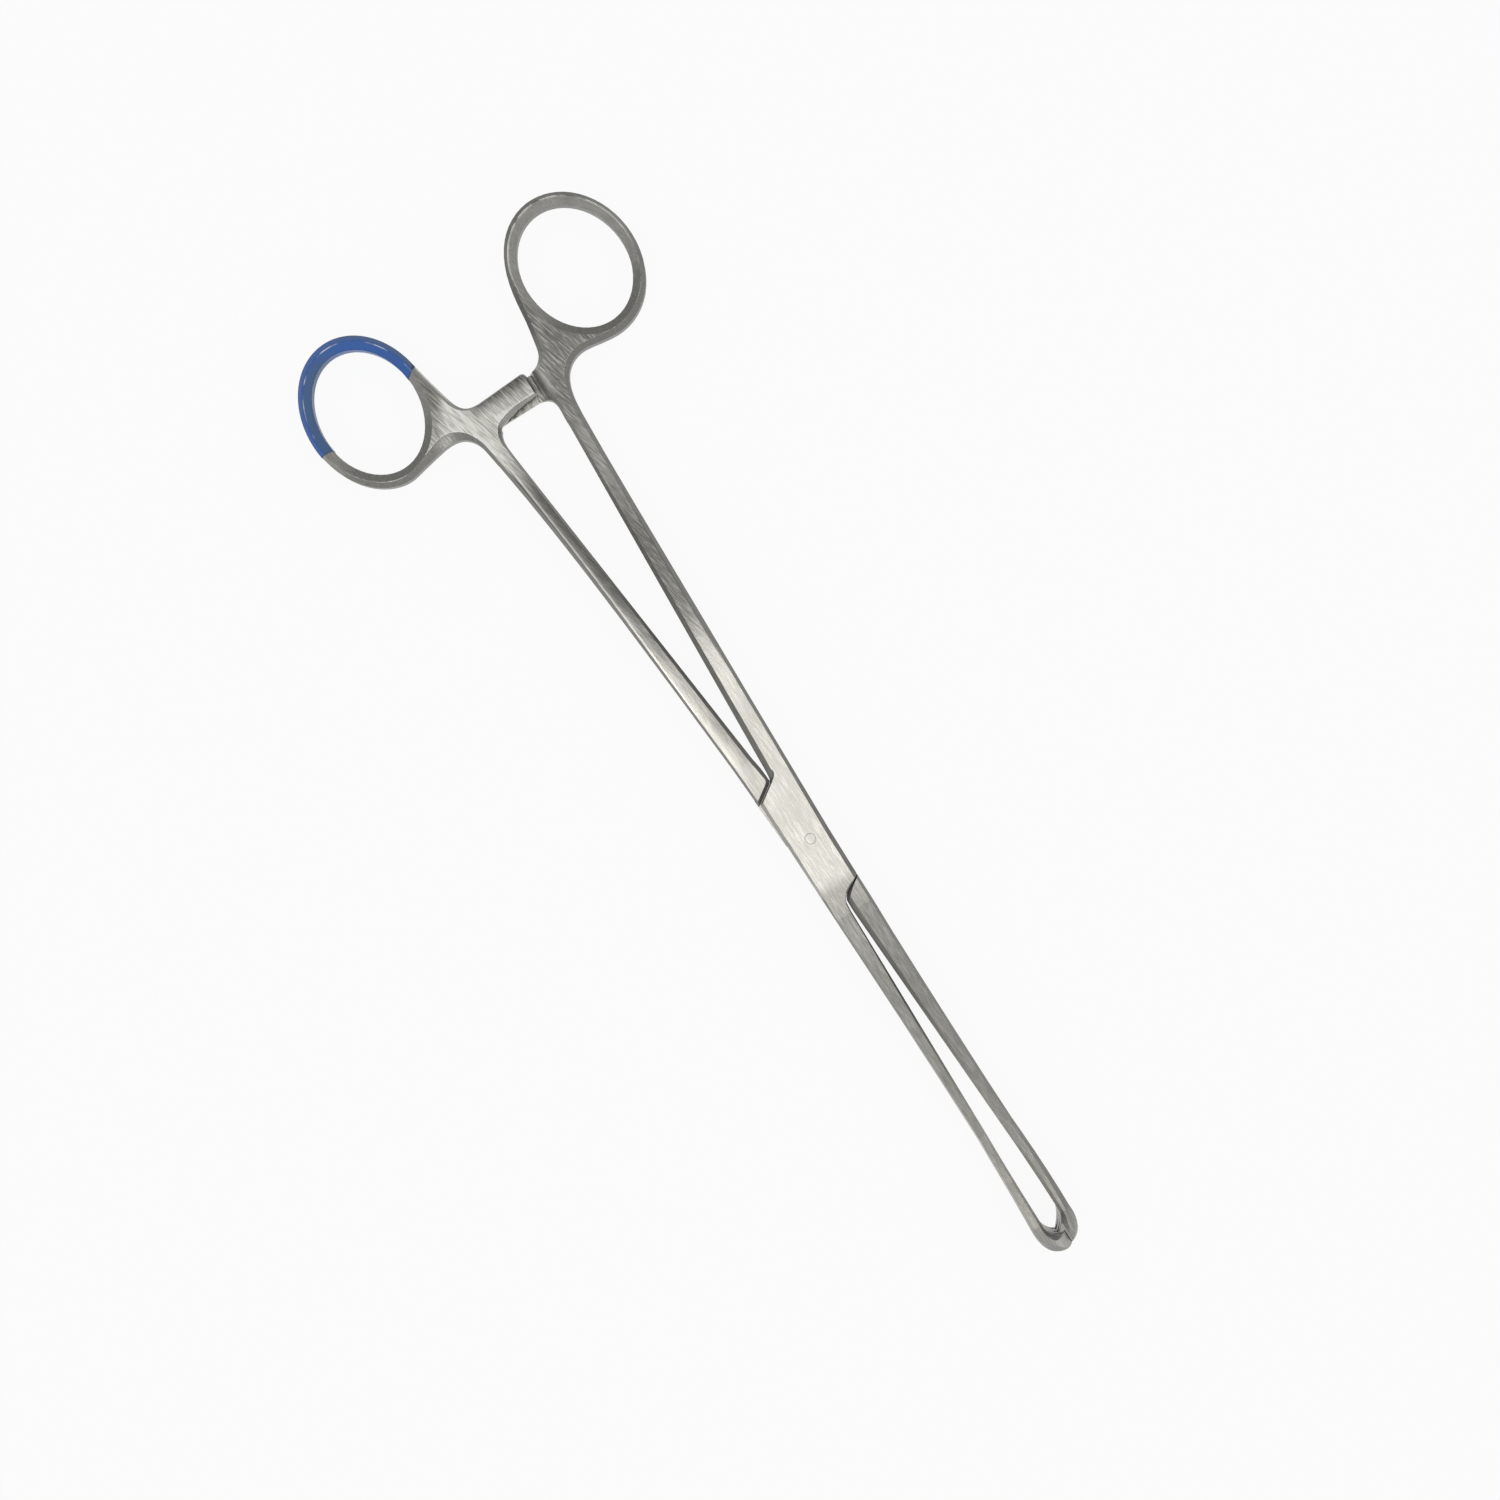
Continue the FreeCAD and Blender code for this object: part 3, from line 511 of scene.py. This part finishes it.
def male_level(spot):
    """Its level faces: a web and arm with painted light, a shank with painted light on its outer side,
    painted shade in its middle and a painted reflection of the lamp, a painted highlight line, and a bevel
    darkened by painted shade.
    """
    from_ring = around_ring(spot.x, spot.y, *coated_ring)
    beside_ring = spot.x.rise(*web_start, *web_start_shades)
    start = spot.y.rise(*arm_side).mixed(beside_ring, spot.x.rise(*arm_start, *arm_start_shades))
    web = spot.x.fall(*male_web) * from_ring.rise(*male_web_from_ring) * male_web_light
    across = above_line(spot, *male_outer_line).rise(*male_across, *male_across_tones)
    across = across * spot.x.fall(*male_across_end)
    busy = spot.x.rise(*male_calm, *male_calm_depths)
    scratches = spot.streak.rise(*male_streak, *male_streak_tones) * busy
    tone = (male_tone + web) * spot.x.fall(*handle_end).mixed(1.0, start)
    tone = tone - spot.x.band(*male_shank) * male_shank_shade + across
    tone = tone + spot.x.band(*painted_gleam) * male_gleam_light
    face = brushed_face(spot, tone, male_depths, busy, scratches)
    from_bevel = above_line(spot, *male_bevel_line)
    reach = spot.x.band(*male_bevel_reach)
    face = face + from_bevel.size().fall(*bright_line_width) * reach * bright_line_light
    return (from_bevel.fall(*male_bevel_edge) * reach).mixed(face, male_bevel_painted_shade)


# A painted highlight along the bevel where the coated ring meets the web.
highlight_line = (-123.9, -16.3, 0.212)
highlight_line_width = (0.2, 0.45)
highlight_line_reach = (-126.0, -123.0, -117.0, -112.0)
highlight_line_light = 0.6
coated_ring_end = (-116.0, -112.0)
coated_ring_tones = (0.38, 0.30)


def coated_ring_tone(spot):
    """The bare side of the coated ring, with a painted highlight line where it meets the web."""
    line = above_line(spot, *highlight_line).size().fall(*highlight_line_width)
    web_edge_highlight = spot.x.band(*highlight_line_reach) * line * highlight_line_light
    return spot.x.rise(*coated_ring_end, *coated_ring_tones) + web_edge_highlight


male_inner_side = (2.6, 3.4)
male_arm_side = (-9.0, -8.0)
# Painted highlights on the ratchet teeth, and painted shade on the tenon where it lies inside the box.
male_teeth_light = 0.2
tenon_half_height = (1.25, 1.5)
tenon_end = (20.0, 21.0)
tenon_edge = (-4.95, -4.85)
tenon_painted_shade = 0.14


def male_paint(spot):
    """Level faces and slopes, painted highlights on the ratchet and the tips, and a tenon painted dark for
    the shade inside the box.
    """
    slopes = slope_tone(spot, coated_ring_tone(spot), spot.y.fall(*male_inner_side))
    teeth = spot.x.band(*ratchet_teeth) * spot.y.rise(*male_arm_side) * male_teeth_light
    outside = spot.flat.mixed(slopes, male_level(spot)) + teeth + tip(spot)
    tenon = spot.from_middle.fall(*tenon_half_height) * spot.x.size().fall(*tenon_end)
    return (tenon * spot.y.rise(*tenon_edge)).mixed(outside, tenon_painted_shade)


dress("male_half", steel_material("male_steel", male_paint))

# Joint pin
# A plain steel pin, pressed into the box and ground flush with both of its faces.
# It is brushed together with the box and takes the same painted light along the instrument, so it is as
# bright, and its own marks are fainter.
pin_tone = 0.42
pin_grain_depth = 0.4
pin_patch_depth = 0.18
pin_scratch_light = 0.10


def pin_paint(spot):
    """One level tone, with its marks and the painted light along the instrument."""
    marks = spot.grain * pin_grain_depth + spot.patch * pin_patch_depth
    scratches = spot.streak.rise(*scratch_streak) * pin_scratch_light
    return (pin_tone + marks + scratches) * shade_along(spot.x)


dress("joint_pin", steel_material("pin_steel", pin_paint))

# Blue coat
# A thin coat of glossy blue enamel on the outer part of one finger ring.
# It has painted shade on the slopes that face the other ring, and a pale painted highlight in places along
# its crest.
coat_colour = (0.055, 0.155, 0.50, 1.0)
# Painted shade on the slopes that face the other ring, and a pale painted highlight in patches along the
# crest.
shaded_coat_colour = (0.085, 0.16, 0.33, 1.0)
highlight_coat_colour = (0.90, 0.92, 0.95, 1.0)
shaded_side = (-0.4, 0.9)
highlight_crest = 0.975
highlight_width = (0.0, 0.022)
highlight_patches = (-0.04, 0.16)
highlight_height = (0.6, 1.2)
coat_patch_size = (4.0, 4.0, 4.0)
coat_edge_radius = 0.6 * millimetre
coat_roughness = 0.4
coat_specular = 0.2
gloss_weight = 0.2
gloss_roughness = 0.08
coat_material, flow = new_material("blue_coating")
place = flow.node("TexCoord", output="Object").scaled(1.0 / millimetre)
y = place.part("Y")
ring = around_ring(place.part("X"), y, *coated_ring)
coat_shade = ((ring - 1.0) * (y - coated_centre[1])).rise(*shaded_side)
on_top = (place.part("Z") - middle_height / millimetre).rise(*highlight_height)
patches = place.noise(coat_patch_size, patch_detail).rise(*highlight_patches)
coat_highlight = (ring - highlight_crest).size().fall(*highlight_width) * patches * on_top
coat_shader = flow.node("BsdfPrincipled", inputs={
    "Base Color": coat_highlight.colours(coat_shade.colours(coat_colour, shaded_coat_colour), highlight_coat_colour),
    "Roughness": coat_roughness,
    "Specular IOR Level": coat_specular,
    "Coat Weight": gloss_weight,
    "Coat Roughness": gloss_roughness,
    "Normal": flow.node("Bevel", {"samples": edge_samples}, {"Radius": coat_edge_radius}),
})
flow.node("OutputMaterial", inputs={"Surface": coat_shader})
dress("ring_colour_coat", coat_material)
